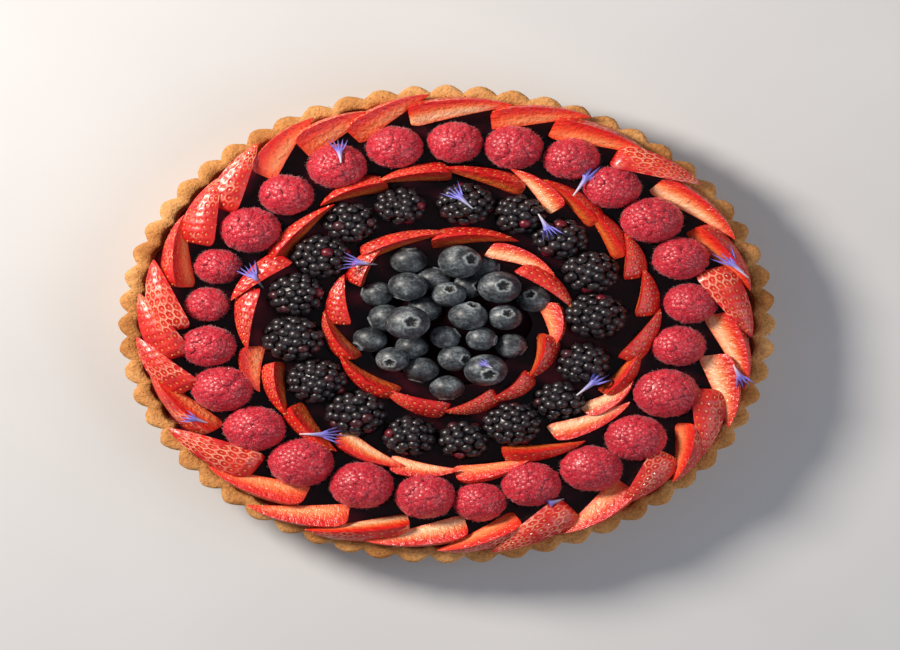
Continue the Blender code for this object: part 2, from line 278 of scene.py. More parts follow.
def dark_jelly():
    made, tree, shader = surface("dark_jelly", Roughness=0.22, Specular_IOR_Level=0.3)
    place = tree.nodes.new("ShaderNodeTexCoord").outputs["Object"]
    length = node_of(tree, "ShaderNodeVectorMath", operation="LENGTH")
    tree.links.new(place, length.inputs[0])
    from_middle = node_of(tree, "ShaderNodeMapRange", From_Min=0.104, From_Max=0.112)
    tree.links.new(length.outputs["Value"], from_middle.inputs["Value"])
    depth = ramp(tree, noise_of(tree, 90, 3), ((0.35, (0.012, 0.0008, 0.003)), (0.7, (0.05, 0.002, 0.007))))
    colour = mixed(tree, from_middle.outputs["Result"], depth, (0.20, 0.008, 0.012))
    dress(tree, shader, colour, bumps(tree, noise_of(tree, 160, 3), 0.35, 0.0012))
    return made


def jelly_mesh():
    columns, rows = 240, 40
    radius = RIM_INNER - 0.8 * MM
    points = []
    for row in range(rows):
        share = 1 - row / rows
        for turn in turns(columns):
            x, y = radius * share * sin(turn), radius * share * cos(turn)
            ripple = noise.noise(Vector((x, y, 0)) * 85) * 0.5 * MM
            climb = 1.1 * MM * max(0, share - 0.93) / 0.07
            points.append((x, y, JELLY_TOP + ripple + climb - 0.3 * MM))
    faces = grid_faces(rows, columns)
    top = len(points)
    points.append((0, 0, JELLY_TOP))
    last = (rows - 1) * columns
    foot = len(points)
    points += [(radius * sin(turn), radius * cos(turn), JELLY_TOP - 3 * MM) for turn in turns(columns)]
    for column in range(columns):
        after = (column + 1) % columns
        faces.append((last + column, last + after, top))
        faces.append((foot + column, foot + after, after, column))
    faces.append(tuple(range(foot + columns - 1, foot - 1, -1)))
    return points, [face[::-1] for face in faces]


jelly = mesh_object("jelly", *jelly_mesh(), [dark_jelly()])
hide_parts("berry_filling")
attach(jelly, "root")


# ---- The raspberries
# Twenty-five fresh raspberries stand tip up in a ring. Each is a cone of small plump drupelets
# with a downy skin, brushed with a thin glaze that leaves tiny bright drops.

HAIRS, DROPS = 880, 60  # on each raspberry
HAIR_LENGTH, HAIR_WIDTH = 1.1 * MM, 0.06 * MM
DROP_SIZES = 0.10, 0.23  # radius in mm, smallest and largest
BERRY_WAIST = 0.42  # the height, as a share of the berry's, that its drupelets face away from


def raspberry_skin():
    made, tree, shader = surface(
        "raspberry_skin", Roughness=0.44, Specular_IOR_Level=0.45, Subsurface_Weight=0.4, Sheen_Weight=0.35,
        Subsurface_Radius=(0.007, 0.001, 0.001), Sheen_Roughness=0.4, Sheen_Tint=(1.0, 0.42, 0.52, 1),
        Coat_Weight=0.3, Coat_Roughness=0.17)
    flesh = ramp(tree, noise_of(tree, 110, 3), (
        (0.32, (0.40, 0.004, 0.018)), (0.5, (0.54, 0.007, 0.026)), (0.7, (0.66, 0.018, 0.038))))
    # painted shade: the darker crease colour goes down the sides of each drupelet and onto the core between
    # them, where shade falls
    colour = mixed(tree, stored(tree, "crown_and_crease_shade"), (0.46, 0.004, 0.020), flesh)
    bloom = ramp(tree, noise_of(tree, 1500, 3), ((0.56, (0, 0, 0)), (0.72, (1, 1, 1))))
    dress(
        tree, shader, mixed(tree, bloom, colour, (0.84, 0.20, 0.25)),
        bumps(tree, noise_of(tree, 1000, 3), 0.8, 0.0005))
    return made


def berry_down():
    return surface("berry_down", Base_Color=(0.95, 0.40, 0.42, 1), Roughness=0.5, Subsurface_Weight=0.3)[0]


def glaze_drop():
    return surface("glaze_drop", Base_Color=(0.92, 0.42, 0.40, 1), Roughness=0.08, Coat_Weight=1.0)[0]


def seats_on(profile, spacing, rng, first=0.12, last=1.0):
    """Where drupelets sit on a berry: staggered rings up its profile, a spacing apart."""
    seats = []
    heights = np.linspace(0, 1, 200)
    outline = np.array([profile(share) for share in heights])
    steps = np.hypot(*np.diff(outline, axis=0).T)
    along = np.concatenate([[0], np.cumsum(steps)])
    total = along[-1]
    rows = max(2, round(total * (last - first) / (spacing * 0.87)))
    for row in range(rows + 1):
        at = total * (first + (last - first) * row / rows)
        radius = np.interp(at, along, outline[:, 0])
        height = np.interp(at, along, outline[:, 1])
        count = max(1, round(2 * pi * radius / spacing))
        lean = rng.uniform(0, 2 * pi)
        for seat in range(count):
            turn = lean + 2 * pi * (seat + rng.uniform(-0.2, 0.2)) / count
            lift = rng.uniform(-0.16, 0.16) * spacing
            seats.append((radius * cos(turn), radius * sin(turn), height + lift))
    return np.array(seats)


def berry_outline(half, tall, taper):
    """A berry's profile: share 0 is the middle of its foot and 1 its tip."""
    def at(share):
        turn = pi * share
        return half * max(sin(turn), 0) ** 0.82 * (1 - taper * share**2), tall * (0.5 - 0.5 * cos(turn))
    return at


def rings_of(outline, columns, rows):
    points = []
    for row in range(rows):
        radius, height = outline((row + 0.5) / rows)
        for column in range(columns):
            turn = 2 * pi * (column + 0.5 * (row % 2)) / columns
            points.append((radius * cos(turn), radius * sin(turn), height))
    return np.array(points)


def capped_faces(columns, rows):
    faces = grid_faces(rows, columns)
    faces.append(tuple(range(columns - 1, -1, -1)))
    faces.append(tuple(range((rows - 1) * columns, rows * columns)))
    return faces


def spikes(roots, outward, length, width, rng):
    """Fine hairs: a thin closed spike with three sides on each root."""
    points, faces = [], []
    for root, out in zip(roots, outward):
        reach = length * rng.uniform(0.5, 1.3)
        out = Vector(out).normalized()
        bend = Vector((rng.uniform(-1, 1), rng.uniform(-1, 1), rng.uniform(-1, 1)))
        side = out.orthogonal().normalized()
        other = out.cross(side)
        root = Vector(root)
        lying = rng.uniform(0.3, 1.4)
        start = len(points)
        for turn in (0, 2.1, 4.2):
            points.append(root + (side * cos(turn) + other * sin(turn)) * width)
        points.append(root + (out + bend * lying).normalized() * reach)
        faces += [(start, start + 1, start + 3), (start + 1, start + 2, start + 3),
                  (start + 2, start, start + 3), (start + 2, start + 1, start)]
    return points, faces


def domes(seats, outward, radii, reach, columns, rows):
    """A closed round cap on each seat, facing outward and reaching so far down its ball. Returns
    points, faces and how near the top of its cap each point is."""
    points, faces, near_top = [], [], []
    for seat, out, radius in zip(seats, outward, radii):
        side = np.cross(out, (0.31, 0.57, 0.76))
        side /= np.linalg.norm(side)
        other = np.cross(out, side)
        start = len(points)
        for row in range(rows):
            turn = reach * (1 - row / rows)
            for column in range(columns):
                around = 2 * pi * (column + 0.5 * (row % 2)) / columns
                flat = side * cos(around) + other * sin(around)
                points.append(seat + (flat * sin(turn) + out * cos(turn)) * radius)
                near_top.append(cos(turn))
        points.append(seat + out * radius)
        near_top.append(1.0)
        faces += grid_faces(rows, columns, start)
        last = start + (rows - 1) * columns
        for column in range(columns):
            faces.append((last + column, last + (column + 1) % columns, start + rows * columns))
        faces.append(tuple(range(start + columns - 1, start - 1, -1)))
    return points, faces, near_top


def ball_points(radius, columns, rows):
    points = []
    for row in range(rows):
        turn = pi * (row + 0.5) / rows
        for around in turns(columns):
            out = radius * sin(turn)
            points.append((out * cos(around), out * sin(around), -radius * cos(turn)))
    return np.array(points), capped_faces(columns, rows)


def away_from(points, middle):
    outward = points - np.array(middle)
    return outward / np.linalg.norm(outward, axis=1)[:, None]


def raspberry(name, width, tall, rng):
    """One raspberry, standing on z = 0: a core under soft drupelets, with down and drops of glaze."""
    spacing = rng.uniform(2.35, 2.7) * MM
    dome = spacing * 1.2
    rise = 0.36 * MM
    outline = berry_outline(width / 2 - rise, tall - rise, 0.10)
    seats = seats_on(outline, spacing, rng, 0.22)
    middle = (0, 0, tall * BERRY_WAIST)
    outward = away_from(seats, middle)
    points = list(rings_of(outline, 28, 16))
    faces = capped_faces(28, 16)
    shade = [0.5] * len(points)
    radii = [dome * rng.uniform(0.9, 1.1) for _ in seats]
    sunk = seats - outward * (dome - rise)
    caps, cap_faces, near_top = domes(sunk, outward, radii, radians(46), 9, 3)
    add_mesh(points, faces, caps, cap_faces)
    # painted shade in the creases: 1 near the top of each cap, falling to 0 down its sides; the core
    # between the caps stays at 0.5
    shade += [min(1, max(0, (height - 0.85) / 0.12)) for height in near_top]
    skin, down, glaze = range(3)
    kinds = [skin] * len(faces)
    roots = np.array(caps)
    chosen = rng.sample(range(len(roots)), HAIRS)
    outward = away_from(roots[chosen], middle)
    hairs, hair_faces = spikes(roots[chosen], outward, HAIR_LENGTH, HAIR_WIDTH, rng)
    add_mesh(points, faces, hairs, hair_faces)
    kinds += [down] * len(hair_faces)
    for index in rng.sample(range(len(roots)), DROPS):
        ball, ball_faces = ball_points(rng.uniform(*DROP_SIZES) * MM, 5, 3)
        add_mesh(points, faces, ball + roots[index], ball_faces)
        kinds += [glaze] * len(ball_faces)
    piece = mesh_object(name, points, faces, raspberry_finish, kinds)
    store(piece, "crown_and_crease_shade", shade + [1.0] * (len(points) - len(shade)))
    return piece


def stand(piece, node, tilt, rng):
    """Puts a berry where its solid stands, with a small lean, and ties it to the model."""
    low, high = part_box(node)
    middle = (Vector(low) + Vector(high)) / 2
    lean = Matrix.Rotation(radians(rng.uniform(-tilt, tilt)), 4, "X")
    lean @= Matrix.Rotation(radians(rng.uniform(-tilt, tilt)), 4, "Y")
    half = Vector((0, 0, (high.z - low.z) / 2))
    piece.data.transform(Matrix.Translation(middle) @ lean @ Matrix.Translation(-half))
    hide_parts(node)
    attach(piece, "root")


def width_of(node):
    """A berry's width and height. Its solid is a little slimmer than the berry."""
    low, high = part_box(node)
    return max(high.x - low.x, high.y - low.y) * 1.11, high.z - low.z


raspberry_finish = [raspberry_skin(), berry_down(), glaze_drop()]
rng = random.Random(7)
for number in range(1, 26):
    node = f"raspberry_{number:02d}"
    stand(raspberry(f"raspberry.{number:02d}", *width_of(node), rng), node, 9, rng)


# ---- The brambles
# Seventeen ripe brambles in a second ring. Each is a knob of big, tight, shining drupelets, nearly
# black, with a few that are still dark red.


def bramble_skin():
    made, tree, shader = surface(
        "bramble_skin", Roughness=0.38, Specular_IOR_Level=0.5, Coat_Weight=0.22, Coat_Roughness=0.16)
    dark = ramp(tree, noise_of(tree, 260, 3), ((0.35, (0.008, 0.006, 0.008)), (0.7, (0.030, 0.022, 0.027))))
    colour = mixed(tree, stored(tree, "red"), dark, (0.15, 0.004, 0.014))
    dress(tree, shader, colour, bumps(tree, noise_of(tree, 700, 3), 0.4, 0.0004))
    return made


def bramble(name, width, tall, rng):
    """One bramble, standing on z = 0: drupelets packed on a plain core."""
    size = rng.uniform(2.3, 2.6) * MM
    outline = berry_outline(width / 2 - size * 0.95, tall - size, 0.08)
    seats = seats_on(outline, size * 1.66, rng, 0.2)
    middle = (0, 0, tall * BERRY_WAIST)
    outward = away_from(seats, middle)
    points = list(rings_of(outline, 24, 14))
    faces = capped_faces(24, 14)
    red = [0.0] * len(points)
    radii = [size * rng.uniform(0.84, 1.08) for _ in seats]
    caps, cap_faces, _ = domes(seats + outward * size * 0.1, outward, radii, radians(84), 12, 5)
    for _ in seats:
        red += [rng.choice((0.0,) * 30 + (0.25, 0.9))] * (len(caps) // len(seats))
    add_mesh(points, faces, caps, cap_faces)
    skin, hair = range(2)
    kinds = [skin] * len(faces)
    chosen = rng.sample(range(len(seats)), 26)
    tops = seats[chosen] + outward[chosen] * size
    hairs, hair_faces = spikes(tops, outward[chosen], 1.3 * MM, 0.04 * MM, rng)
    add_mesh(points, faces, hairs, hair_faces)
    kinds += [hair] * len(hair_faces)
    piece = mesh_object(name, points, faces, bramble_finish, kinds)
    store(piece, "red", red + [0.0] * len(hairs))
    return piece


bramble_finish = [
    bramble_skin(), surface("bramble_hair", Base_Color=(0.35, 0.22, 0.16, 1), Roughness=0.5)[0]]
rng = random.Random(21)
for number in range(1, 18):
    node = f"bramble_{number:02d}"
    stand(bramble(f"bramble.{number:02d}", *width_of(node), rng), node, 14, rng)


# ---- The blueberries
# A loose heap of twenty-five blueberries in the middle, two deep. Their skins are slate blue under
# a waxy bloom that is rubbed off in places, and each has a five-pointed crown.

# across, up, width and layer in mm, then the way the crown looks: degrees from above, clockwise turn
BLUEBERRIES = (
    (-14, 32, 14, 0, 80, 0), (4.7, 31.3, 16.4, 1, 38, 75), (13.4, 28, 12.5, 0, 90, 90),
    (-14.2, 19, 14.7, 1, 95, 200), (-25.4, 15.3, 12.7, 0, 90, 280), (-5, 22.6, 12.5, 0, 90, 20),
    (0.7, 14.9, 12.7, 1, 30, 10), (8, 19.3, 12, 0, 40, 90), (19.1, 18.6, 16, 1, 14, 70),
    (31.5, 12.6, 13, 0, 28, 330), (-22.1, 3.2, 14, 0, 90, 250), (-14.4, 0.9, 16.7, 2, 12, 80),
    (-8, 7.9, 13, 0, 90, 40), (7.7, 4.2, 14.7, 1, 60, 20), (21.1, 3.5, 12.7, 1, 24, 30),
    (-28, -7.5, 13, 0, 75, 230), (-12.7, -11.2, 12.5, 0, 90, 180), (-0.7, -6.5, 11.7, 1, 85, 60),
    (12.4, -7.2, 12, 1, 80, 100), (23.1, -10.5, 12.5, 0, 90, 120), (-19.8, -17.5, 12.4, 1, 22, 210),
    (-9.4, -22.6, 13.4, 0, 90, 200), (2.7, -16.9, 12.7, 1, 45, 100), (14.1, -22.9, 16, 1, 24, 150),
    (0, -31.6, 13, 0, 90, 180),
)
BLUEBERRY_LAYER = 6 * MM
FLATNESS = 0.93  # a blueberry's height as a share of its width
CORE_RADIUS, CORE_RISE = 30 * MM, 8 * MM
heap_low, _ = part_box("blueberry_heap")


def blueberry_skin():
    made, tree, shader = surface("blueberry_skin", Roughness=0.48, Coat_Weight=0.12, Coat_Roughness=0.25)
    bloom = ramp(tree, noise_of(tree, 170, 5, 0.6), (
        (0.32, (0.010, 0.011, 0.015)), (0.48, (0.044, 0.051, 0.060)), (0.66, (0.165, 0.188, 0.205))))
    specks = ramp(tree, noise_of(tree, 900, 3), ((0.40, (0.4, 0.4, 0.42)), (0.64, (1.9, 1.88, 1.8))))
    skin = mixed(tree, 0.7, bloom, specks, "MULTIPLY")
    marked = mixed(tree, stored(tree, "crown_and_crease_shade"), skin, (0.010, 0.007, 0.007))
    colour = mixed(tree, stored(tree, "lip"), marked, (0.27, 0.30, 0.31))
    dress(tree, shader, colour, bumps(tree, noise_of(tree, 900, 3), 0.2, 0.0003))
    return made


def blueberry(radius, rng):
    """Points and faces of a blueberry whose crown is at the top, and the shades of its crown's
    hollow and of the pale lip round it."""
    columns, rows = 45, 42
    points, crown_and_crease_shade, lips = [], [], []
    star = rng.uniform(0, 2 * pi)
    for row in range(rows):
        share = (row + 0.5) / rows
        turn = pi * share**1.5
        for around in turns(columns):
            lobe = abs(cos(2.5 * (around + star))) ** 0.8
            lip = 0.21 + 0.09 * lobe
            raised = 0.075 * np.exp(-(((turn - lip - 0.07) / 0.09) ** 2)) * (0.7 + 0.5 * lobe)
            sunk = 0.16 / (1 + np.exp((turn - lip + 0.03) / 0.022))
            lips.append(0.9 * float(np.exp(-(((turn - lip - 0.09) / 0.075) ** 2))))
            reach = radius * (1 + raised - sunk)
            out = reach * sin(turn)
            points.append((out * cos(around), out * sin(around), reach * cos(turn) * FLATNESS))
            crown_and_crease_shade.append(float(1 / (1 + np.exp((turn - lip) / 0.02))))
    faces = [face[::-1] for face in capped_faces(columns, rows)]
    return np.array(points), faces, crown_and_crease_shade, lips


def heap_of_blueberries():
    points, faces, crown_and_crease_shade, lips = [], [], [], []
    rng = random.Random(5)
    for across, up, width, layer, lean, clockwise in BLUEBERRIES:
        radius = width * MM / 2
        ball, ball_faces, shade, pale = blueberry(radius, rng)
        turn = Matrix.Rotation(radians(-clockwise), 3, "Z") @ Matrix.Rotation(radians(-lean), 3, "X")
        turned = ball @ np.array(turn).T
        height = heap_low.z + radius * 0.96 + layer * BLUEBERRY_LAYER
        add_mesh(points, faces, turned + np.array((across * MM, up * MM, height)), ball_faces)
        crown_and_crease_shade += shade
        lips += pale
    piece = mesh_object("blueberries", points, faces, [blueberry_skin()])
    store(piece, "crown_and_crease_shade", crown_and_crease_shade)
    store(piece, "lip", lips)
    return piece


def heap_core():
    """A low mound that fills the heap under the berries, coloured near black and matte as painted shade."""
    columns, rows = 60, 12
    points = []
    for row in range(rows):
        share = 1 - row / rows
        for turn in turns(columns):
            reach = CORE_RADIUS * share * (1 + 0.06 * sin(5 * turn))
            rise = heap_low.z - 1 * MM + CORE_RISE * (1 - share**2)
            points.append((reach * sin(turn), reach * cos(turn), rise))
    faces = [face[::-1] for face in capped_faces(columns, rows)]
    # painted shade: a near-black, matte fill that stands for the shadow in the gaps between the blueberries
    dark = surface(
        "heap_shade", Base_Color=(0.012, 0.0015, 0.004, 1), Roughness=0.8, Specular_IOR_Level=0.05)[0]
    return mesh_object("heap_core", points, faces, [dark])


heap = heap_of_blueberries()
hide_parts("blueberry_heap")
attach(heap, "root")
core = heap_core()
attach(core, "root")


# ---- The strawberry slices
# Strawberries hulled and cut lengthwise in wedges, then laid like roof tiles in three pinwheels,
# the middle one the other way round. A wedge has a flat blunt end, two cut faces that meet at the
# pale core, and the red skin with its seeds, each seed in a small dimple.

# Blunt end's angle and distance, tip's angle and distance, in degrees clockwise from +Y and mm,
# then what faces up: s the skin, c a cut face, p a pale cut face, m some of both
OUTER_SLICES = (
    (352.5, 104.5, 12.6, 112, "c"), (9, 103, 27, 116, "c"), (21.3, 105.5, 41.3, 112, "c"),
    (36, 103, 53, 116, "s"), (47.5, 103.5, 68, 113, "p"), (62, 102, 81.5, 111.5, "m"),
    (74, 99, 93.5, 111, "s"), (87, 98, 107, 113, "c"), (99, 98, 117, 114.5, "c"),
    (109, 99, 126, 113.5, "s"), (119.5, 101, 134, 113.7, "m"), (129, 102, 145, 110, "s"),
    (141, 103, 159, 112, "c"), (154, 101, 172, 115, "s"), (165, 101, 182, 113, "m"),
    (176, 100.5, 196, 112, "c"), (188, 100, 207, 115, "m"), (200.7, 101.5, 219, 116, "c"),
    (211, 99.5, 231, 112, "c"), (224, 99, 243, 114, "s"), (238, 99.5, 259, 110, "m"),
    (251, 98, 267, 113, "s"), (260.5, 99, 278, 113, "s"), (268.5, 98, 287, 111.5, "s"),
    (281, 98, 300, 110, "m"), (294, 98.5, 312, 110.5, "s"), (305, 100, 323, 114, "s"),
    (318, 100, 335, 114, "c"), (329, 102.5, 346.6, 109, "c"), (340, 100, 357, 115, "c"),
)
MIDDLE_SLICES = (
    (22.5, 73, -2.5, 78, "m"), (35, 70, 16.5, 81, "c"), (47, 74, 25, 80, "m"), (62, 72, 38, 78, "m"),
    (71, 70, 54.5, 79, "s"), (86.5, 70.5, 68, 76.5, "s"), (105, 66, 84, 78, "s"),
    (121, 66.5, 99.5, 71, "m"), (131, 66, 112, 73, "c"), (145, 66, 120, 77, "p"),
    (162.5, 67, 139, 77, "m"), (177.5, 75, 154.5, 73, "c"), (196.5, 72, 176, 72.5, "c"),
    (215.5, 67.5, 191.5, 72.5, "c"), (234, 69, 212, 75, "m"), (253, 65, 231, 74, "m"),
    (261, 71, 243.5, 76, "c"), (284.5, 72, 260, 73.5, "s"), (299.5, 66.5, 278.5, 79.5, "s"),
    (297.5, 70.5, 326, 72.5, "m"), (342.5, 73.5, 322, 75, "m"), (361, 75.5, 339.5, 75, "m"),
)
INNER_SLICES = (
    (318, 46, 364, 46, "m"), (352.5, 41.5, 392.5, 49, "m"), (22, 40, 58.5, 46, "p"),
    (43, 38, 80.5, 46.5, "s"), (74, 38, 108, 40, "c"), (98, 36, 134.5, 40, "m"), (129.5, 38, 160, 41, "s"),
    (153, 38, 182.5, 43.5, "s"), (179.5, 41.5, 217, 39.5, "s"), (208, 38.5, 249.5, 41.5, "m"),
    (243, 37, 279.5, 45, "m"), (270, 37.5, 304, 45, "s"), (301, 38, 332, 45.5, "s"),
)
SEED_ROWS, SEED_PITCH = 9.5, 3.1 * MM
SEED_DEPTH, DIMPLE_DEPTH = 0.38 * MM, 0.5 * MM
JUICE_DROPS = 18  # on each slice
HIGHLIGHT_NET_SKIN, FLESH, PALE_FLESH, SEED, JUICE, PLAIN_SKIN, SHADED_RED_FLESH = range(7)


def seed_cells(tree):
    """The UV map that counts the seeds: the whole map, then rows along and columns across."""
    cells = tree.nodes.new("ShaderNodeUVMap")
    cells.uv_map = "seeds"
    parts = tree.nodes.new("ShaderNodeSeparateXYZ")
    tree.links.new(cells.outputs["UV"], parts.inputs["Vector"])
    return cells.outputs["UV"], parts.outputs["X"], parts.outputs["Y"]


def strawberry_skin(name, highlight_net):
    """Red skin with a pale comb of lines between its seeds, a painted highlight on the wet ridges
    round the dimples. The second argument says how strongly the comb shows.
    """
    made, tree, shader = surface(
        name, Roughness=0.4, Subsurface_Weight=0.3, Subsurface_Radius=(0.005, 0.0007, 0.0004),
        Coat_Weight=0.35, Coat_Roughness=0.15)
    _, rows, columns = seed_cells(tree)

    def count(operation, *values):
        return maths(tree, operation, *values)

    stagger = count("MULTIPLY", count("MODULO", count("FLOOR", rows), 2.0), 0.5)
    across = count("SUBTRACT", count("FRACT", count("ADD", columns, stagger)), 0.5)
    along = count("SUBTRACT", count("FRACT", rows), 0.5)
    away = count("SQRT", count("ADD", count("MULTIPLY", across, across), count("MULTIPLY", along, along)))
    wide = count("ABSOLUTE", across)
    slanted = count("ADD", count("ABSOLUTE", along), count("MULTIPLY", wide, 0.5))
    comb = count("MAXIMUM", wide, count("MULTIPLY", slanted, 0.8))
    border = count("ADD", count("MULTIPLY", comb, 0.7), count("MULTIPLY", away, 0.3))
    highlight_place = count("ADD", border, count("MULTIPLY", noise_of(tree, 420, 3), 0.22))
    red = ramp(tree, noise_of(tree, 120, 4), (
        (0.3, (0.44, 0.004, 0.006)), (0.5, (0.60, 0.010, 0.010)), (0.72, (0.72, 0.034, 0.018))))
    # painted highlight: the pale comb on the ridges between the dimples stands for light glinting off the
    # wet skin, shown in random patches as strong as the second argument
    rings = ramp(tree, highlight_place, (
        (0.50, (0, 0, 0)), (0.56, (1, 1, 1)), (0.60, (1, 1, 1)), (0.67, (0.05, 0.05, 0.05))))
    highlight_patches = ramp(tree, noise_of(tree, 70, 2), ((0.46, (0.05 * highlight_net,) * 3), (0.60, (highlight_net,) * 3)))
    colour = mixed(tree, mixed(tree, 1.0, rings, highlight_patches, "MULTIPLY"), red, (0.93, 0.46, 0.27))
    dress(tree, shader, colour, bumps(tree, noise_of(tree, 600, 3), 0.45, 0.0005))
    return made


def strawberry_flesh(name, pale):
    """Cut flesh: a paler streak down the middle, orange-red beside it and bright red at the edges
    and ends, with fine fibres that run out to the skin. pale lightens the streak, or darkens it;
    below zero the streak is redder and all the reds are dimmed too, which is painted shade."""
    made, tree, shader = surface(
        name, Roughness=0.38, Specular_IOR_Level=0.4, Subsurface_Weight=0.35, Coat_Weight=0.5,
        Coat_Roughness=0.09, Subsurface_Radius=(0.004, 0.0012, 0.0006))
    cells, rows, columns = seed_cells(tree)
    stretch = node_of(tree, "ShaderNodeMapping", Scale=(3.2, 1.3, 1))
    tree.links.new(cells, stretch.inputs["Vector"])
    fibre = node_of(tree, "ShaderNodeTexNoise", Scale=2.2, Detail=5.0, Roughness=0.6)
    tree.links.new(stretch.outputs["Vector"], fibre.inputs["Vector"])
    shift = maths(tree, "MULTIPLY_ADD", fibre.outputs["Fac"], 0.34, columns)
    # painted shade: below zero this dims the reds, so the red flesh is a shaded copy of the flesh as well
    # as a redder one
    shade_dimming = 1 + 0.35 * min(pale, 0)
    streak = ramp(tree, shift, (
        (0.14, (0.80 * shade_dimming, 0.07 * shade_dimming, 0.024)),
        (0.27, (0.92 * shade_dimming, 0.20 + 0.20 * pale, max(0.02, 0.07 + 0.13 * pale))),
        (0.44, (0.95 * shade_dimming, 0.32 + 0.24 * pale, max(0.03, 0.13 + 0.20 * pale))),
        (0.64, (0.90 * shade_dimming, 0.18 + 0.14 * pale, max(0.025, 0.06 + 0.07 * pale))),
        (0.84, (0.80 * shade_dimming, 0.055 + 0.03 * pale, 0.018)),
        (1.0, (0.66, 0.014, 0.010))))
    within = ramp(tree, maths(tree, "DIVIDE", rows, SEED_ROWS), (
        (0.0, (0.25 + 0.6 * pale,) * 3), (0.2, (1, 1, 1)), (0.62, (1, 1, 1)), (0.93, (0, 0, 0))))
    colour = mixed(tree, within, (0.76 * shade_dimming, 0.045, 0.016), streak)
    grain = bumps(tree, fibre.outputs["Fac"], 0.35, 0.0008)
    wet = bumps(tree, noise_of(tree, 480, 2), 0.75, 0.0013, grain)
    dress(tree, shader, colour, wet)
    tree.links.new(wet, shader.inputs["Coat Normal"])
    return made


def seed_coat():
    return surface("seed_coat", Base_Color=(0.66, 0.25, 0.05, 1), Roughness=0.3, Coat_Weight=0.5)[0]


def slice_width(share):
    """A strawberry's half width along its length: a round shoulder, long sides and a pointed tip."""
    shoulder = 1 - min(share / 0.15, 1)
    return (0.6 + 0.4 * (1 - shoulder**2) ** 0.5) * (1 - share**1.9) ** 0.8


def warped_cell(share, lean, columns, wobble):
    """Rows and columns of seeds counted along and across the skin, a little unevenly."""
    row = share * SEED_ROWS + 0.16 * sin(5 * lean + wobble) + wobble
    column = lean * columns + 0.14 * sin(2.1 * row + wobble * 3)
    return row, column


class Wedge:
    """One wedge of strawberry. spread is its angle at the core, and roll how far its skin leans
    from facing up towards the wall of the case. bow bends it round the tart."""

    def __init__(self, blunt, tip, radius, spread, roll, bow, wobble):
        self.along = (tip - blunt).normalized()
        outside = Vector(((blunt + tip).x, (blunt + tip).y, 0)).normalized()
        self.outside = (outside - self.along * outside.dot(self.along)).normalized()
        up = self.outside.cross(self.along)
        up = up if up.z > 0 else -up
        self.facing = up * cos(roll) + self.outside * sin(roll)
        self.beside = self.along.cross(self.facing)
        self.core = blunt - self.facing * radius * 0.45
        self.tip, self.radius, self.spread = tip, radius, spread
        self.bow, self.wobble = bow, wobble
        self.columns = spread * radius / SEED_PITCH

    def middle(self, share):
        """The core line, which turns in a little at the blunt end."""
        turned = max(0, 1 - share / 0.1) ** 2 * 0.12 * self.radius
        line = self.core.lerp(self.tip, share) + self.outside * self.bow * sin(pi * share)
        return line + self.facing * turned

    def reach(self, share):
        return self.radius * slice_width(share)

    def away(self, lean):
        turn = lean * self.spread
        return self.facing * cos(turn) + self.beside * sin(turn)


def wedge_mesh(wedge, stations=42, skin_steps=16, cut_steps=4):
    """Points, faces, kinds (0 skin, 1 flesh) and the cells of each face's corners."""
    ring = [(-0.5, step / cut_steps) for step in range(cut_steps + 1)]
    ring += [(step / skin_steps - 0.5, 1.0) for step in range(1, skin_steps)]
    ring += [(0.5, step / cut_steps) for step in range(cut_steps, 0, -1)]
    points, cells, faces, kinds = [], [], [], []
    for station in range(stations):
        share = (station / (stations - 1)) ** 1.1 * 0.992
        middle, reach = wedge.middle(share), wedge.reach(share)
        for lean, out in ring:
            row, column = warped_cell(share, lean + 0.5, wedge.columns, wedge.wobble)
            far = reach * out
            if out == 1.0:
                stagger = 0.5 * (floor(row) % 2)
                apart = hypot((row % 1) - 0.5, ((column + stagger) % 1) - 0.5)
                edge = min(1, (0.5 - abs(lean)) * 9)
                dimple = DIMPLE_DEPTH * np.exp(-((apart / 0.29) ** 2))
                far -= dimple * min(1, 2 * reach / wedge.radius) * edge
            away = wedge.away(lean)
            inward = (away.cross(wedge.along) if lean > 0 else wedge.along.cross(away)) * -1
            hollow = 0.3 * MM * sin(pi * out) * sin(pi * share) if abs(lean) == 0.5 and out < 1 else 0
            points.append(middle + away * far + inward * hollow)
            cells.append((share * SEED_ROWS, out) if out < 1 else (row, column))
    per_ring = len(ring)
    for station in range(stations - 1):
        low = station * per_ring
        for step in range(per_ring):
            after = (step + 1) % per_ring
            faces.append((low + step, low + after, low + per_ring + after, low + per_ring + step))
            kinds.append(0 if cut_steps <= step < cut_steps + skin_steps else 1)
    faces.append(tuple(range(per_ring - 1, -1, -1)))
    kinds.append(1)
    last = (stations - 1) * per_ring
    faces.append(tuple(range(last, last + per_ring)))
    kinds.append(0)
    corners = []
    for face, kind in zip(faces, kinds):
        for corner in face:
            step = corner % per_ring
            if kind == 1 and cut_steps <= step <= cut_steps + skin_steps:
                corners.append((corner // per_ring / stations * SEED_ROWS, 1.0))
            else:
                corners.append(cells[corner])
    return points, faces, kinds, corners


